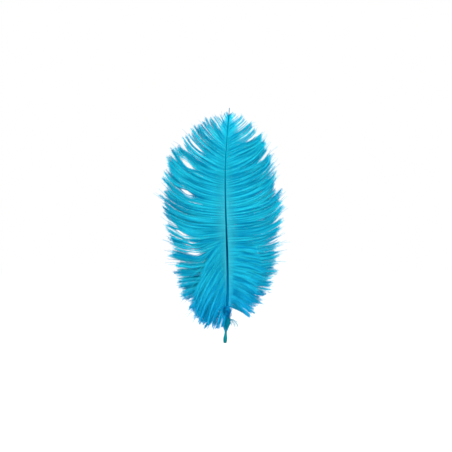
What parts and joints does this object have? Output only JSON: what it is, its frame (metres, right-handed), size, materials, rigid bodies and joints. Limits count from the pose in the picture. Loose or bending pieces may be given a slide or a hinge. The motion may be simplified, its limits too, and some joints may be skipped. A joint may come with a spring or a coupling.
{
  "type": "ostrich feather plume",
  "caption": "Fluffy dyed ostrich plume: a hollow quill and tapering shaft with loose drooping barbs in soft locks down both sides.",
  "frame": {"origin": "middle of the cut end of the quill, where the plume is held", "axes": "+Z along the shaft from the quill to the tip, -Y out of the plume's front, +X to the right seen from the front"},
  "size_m": [0.1513, 0.0314, 0.3],
  "materials": {
    "quill_horn": "dyed horn, satin, dark teal",
    "shaft_horn": "dyed horn, satin, near navy at the foot and paler towards the tip",
    "cap_horn": "dry papery horn membrane",
    "pith": "dry foamy pith",
    "vane_dye": "soft turquoise dyed barbs with fine downy barbules",
    "down_dye": "soft dyed down, a little bluer",
    "mat_dye": "matted dyed down, deep blue"
  },
  "bodies": {
    "root": {"quill": "quill_horn", "shaft_cortex": "shaft_horn", "shaft_pith": "pith", "base_mat": "mat_dye", "quill_tuft": "down_dye", "pulp_cap_1": "cap_horn", "pulp_cap_2": "cap_horn", "pulp_cap_3": "cap_horn", "left_lock_01": "vane_dye", "right_lock_01": "vane_dye", "left_lock_02": "vane_dye", "right_lock_02": "vane_dye", "left_lock_03": "vane_dye", "right_lock_03": "vane_dye", "left_lock_04": "vane_dye", "right_lock_04": "vane_dye", "left_lock_05": "vane_dye", "right_lock_05": "vane_dye", "left_lock_06": "vane_dye", "right_lock_06": "vane_dye", "left_lock_07": "vane_dye", "right_lock_07": "vane_dye", "left_lock_08": "vane_dye", "right_lock_08": "vane_dye", "left_lock_09": "vane_dye", "right_lock_09": "vane_dye", "left_lock_10": "vane_dye", "right_lock_10": "vane_dye", "left_lock_11": "vane_dye", "right_lock_11": "vane_dye", "left_lock_12": "vane_dye", "right_lock_12": "vane_dye", "left_lock_13": "vane_dye", "right_lock_13": "vane_dye", "left_lock_14": "vane_dye", "right_lock_14": "vane_dye", "left_lock_15": "vane_dye", "right_lock_15": "vane_dye", "left_lock_16": "vane_dye", "right_lock_16": "vane_dye", "left_down_1": "down_dye", "left_down_2": "down_dye", "left_down_3": "down_dye", "left_down_4": "down_dye", "left_down_5": "down_dye", "left_down_6": "down_dye", "right_down_1": "down_dye", "right_down_2": "down_dye", "right_down_3": "down_dye", "right_down_4": "down_dye"}
  },
  "joints": []
}
